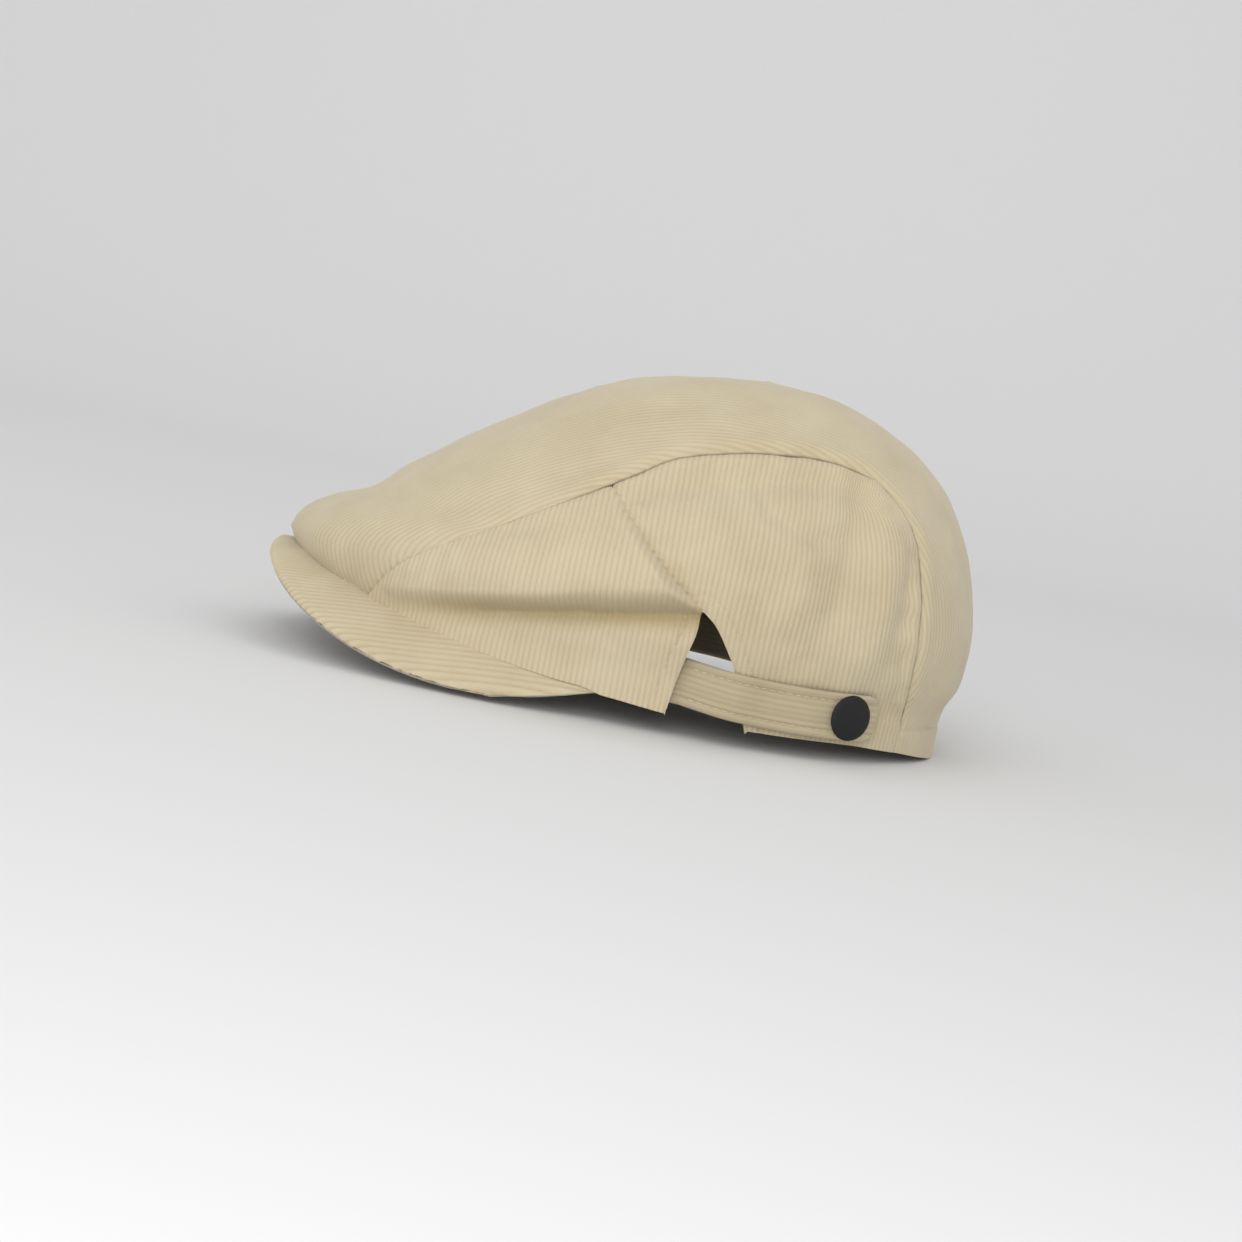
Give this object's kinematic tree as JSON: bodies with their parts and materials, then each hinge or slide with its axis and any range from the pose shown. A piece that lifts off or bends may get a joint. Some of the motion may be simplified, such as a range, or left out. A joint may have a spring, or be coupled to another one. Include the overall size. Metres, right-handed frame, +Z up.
{
  "type": "newsboy cap",
  "caption": "Fine-corduroy cap with a sewn-down top panel, short arched brim, and a snap strap across an opening on each side.",
  "frame": {"origin": "centre of the head opening, on the plane the cap rests on", "axes": "+Z up out of the crown, -Y forward past the brim, +X towards the wearer's left"},
  "size_m": [0.187, 0.2686, 0.1277],
  "materials": {
    "corduroy": "matte fine-wale cotton corduroy, cream beige",
    "lining": "matte woven grey lining",
    "sweatband": "matte grey twill tape",
    "under_cloth": "matte grey woven under-brim cloth",
    "brim_board": "plain moulded board",
    "snap_black": "matte black lacquer"
  },
  "bodies": {
    "crown": {"crown_top_panel": "corduroy", "front_side_panel_left": "corduroy", "front_side_panel_right": "corduroy", "rear_side_panel_left": "corduroy", "rear_side_panel_right": "corduroy", "lining_top_panel": "lining", "lining_side_panel_left": "lining", "lining_side_panel_right": "lining", "sweatband_front": "sweatband", "sweatband_rear": "sweatband", "rear_hem_facing": "corduroy", "brim_board": "brim_board", "brim_under_cover": "under_cloth", "brim_top_cover": "corduroy", "strap_sewn_end_left": "corduroy", "snap_stud_left": "snap_black", "snap_stud_back_left": "snap_black", "strap_sewn_end_right": "corduroy", "snap_stud_right": "snap_black", "snap_stud_back_right": "snap_black"},
    "left_strap": {"strap_left": "corduroy", "snap_cap_left": "snap_black", "snap_socket_left": "snap_black"},
    "right_strap": {"strap_right": "corduroy", "snap_cap_right": "snap_black", "snap_socket_right": "snap_black"}
  },
  "joints": [
    {"name": "left_strap_swing", "type": "hinge", "parent": "crown", "child": "left_strap", "pos_m": [0.084, 0.00105, 0.016], "axis": [0, 0, -1], "range_deg": [0, 75]},
    {"name": "right_strap_swing", "type": "hinge", "parent": "crown", "child": "right_strap", "pos_m": [-0.084, 0.00105, 0.016], "axis": [0, 0, 1], "range_deg": [0, 75]}
  ]
}
